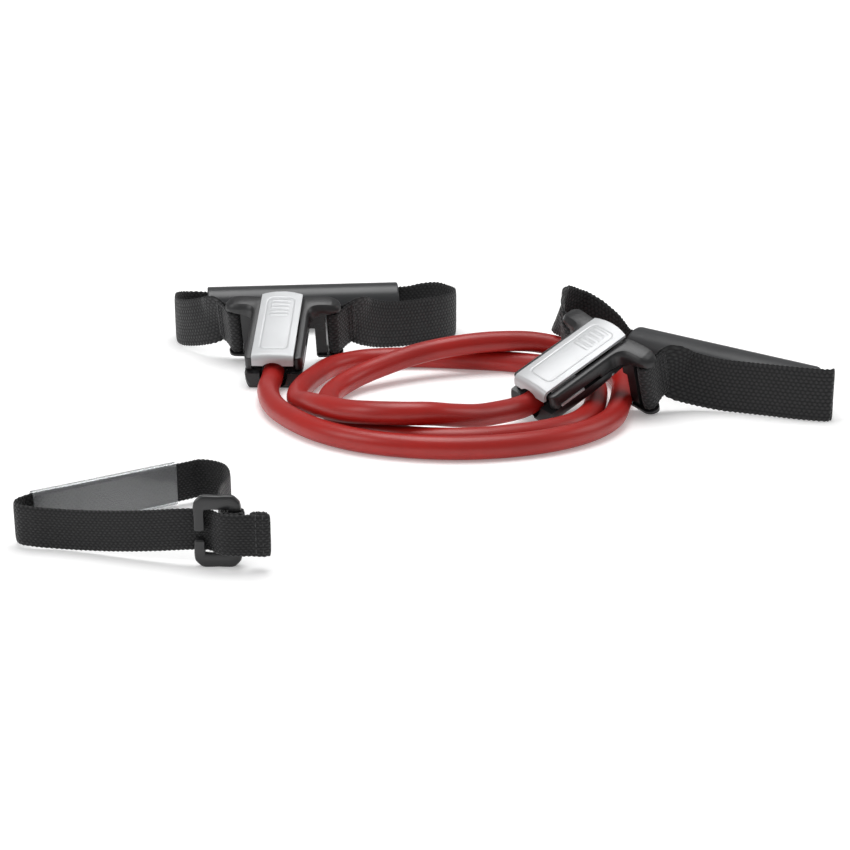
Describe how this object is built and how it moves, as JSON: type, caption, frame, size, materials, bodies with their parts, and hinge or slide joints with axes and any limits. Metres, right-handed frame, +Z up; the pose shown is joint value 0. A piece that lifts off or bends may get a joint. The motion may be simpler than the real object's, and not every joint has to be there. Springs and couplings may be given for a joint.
{
  "type": "resistance tube exercise set",
  "caption": "Elastic exercise tube with quick-change connectors, webbing hand loops with turning grips, and a separate anchor strap with hook buckle.",
  "frame": {"origin": "on the floor, under the centre of the bounding box of everything but the tube", "axes": "+Z up, -Y towards the viewer's side with the anchor strap, +X to the right"},
  "size_m": [0.406, 0.4534, 0.0534],
  "materials": {
    "tube_rubber": "satin",
    "plug_plastic": "matte",
    "cover_plastic": "fine matte texture",
    "housing_plastic": "satin",
    "plate_plastic": "satin",
    "spring_steel": "bright",
    "bar_steel": "satin",
    "screw_steel": "satin",
    "handle_webbing": "ribbed polyester webbing",
    "thread": "bonded thread",
    "grip_plastic": "semi-gloss",
    "anchor_webbing": "ribbed polyester webbing",
    "clear_vinyl": "clear flexible vinyl",
    "buckle_metal": "satin black"
  },
  "bodies": {
    "root": {"resistance_tube": "tube_rubber", "tube_plug_a": "plug_plastic", "tube_collar_a": "plug_plastic", "upper_cover_a": "cover_plastic", "lower_housing_a": "housing_plastic", "lock_spring_a": "spring_steel", "strap_bars_a": "bar_steel", "housing_screws_a": "screw_steel", "handle_strap_a": "handle_webbing", "strap_stitching_a": "thread", "tube_plug_b": "plug_plastic", "tube_collar_b": "plug_plastic", "upper_cover_b": "cover_plastic", "lower_housing_b": "housing_plastic", "lock_spring_b": "spring_steel", "strap_bars_b": "bar_steel", "housing_screws_b": "screw_steel", "handle_strap_b": "handle_webbing", "strap_stitching_b": "thread"},
    "lock_a": {"lock_plate_a": "plate_plastic"},
    "lock_b": {"lock_plate_b": "plate_plastic"},
    "grip_a": {"grip_tube_a": "grip_plastic"},
    "grip_b": {"grip_tube_b": "grip_plastic"},
    "anchor": {"anchor_strap": "anchor_webbing", "anchor_stitching": "thread", "anchor_buckle": "buckle_metal"},
    "sleeve": {"anchor_sleeve": "clear_vinyl"}
  },
  "joints": [
    {"name": "lock_slide_a", "type": "slide", "parent": "root", "child": "lock_a", "axis": [0.0413, 0.909, 0.4147], "range_m": [0, 0.012], "stiffness_N_per_m": 400, "springref_m": -0.0125, "deforming": ["lock_spring_a"]},
    {"name": "lock_slide_b", "type": "slide", "parent": "root", "child": "lock_b", "axis": [0.7614, 0.4983, 0.4147], "range_m": [0, 0.012], "stiffness_N_per_m": 400, "springref_m": -0.0125, "deforming": ["lock_spring_b"]},
    {"name": "grip_spin_a", "type": "hinge", "parent": "root", "child": "grip_a", "pos_m": [-0.10221, 0.20589, 0.017], "axis": [0.9925, 0.1219, 0], "continuous": true},
    {"name": "grip_spin_b", "type": "hinge", "parent": "root", "child": "grip_b", "pos_m": [0.15039, 0.05249, 0.0145], "axis": [0.682, -0.7314, 0], "continuous": true},
    {"name": "anchor_lift", "type": "slide", "parent": "root", "child": "anchor", "axis": [0, 0, 1], "range_m": [0, 0.15]},
    {"name": "sleeve_slide", "type": "slide", "parent": "anchor", "child": "sleeve", "axis": [0.8131, 0.5821, 0], "range_m": [-0.001, 0.006]}
  ]
}
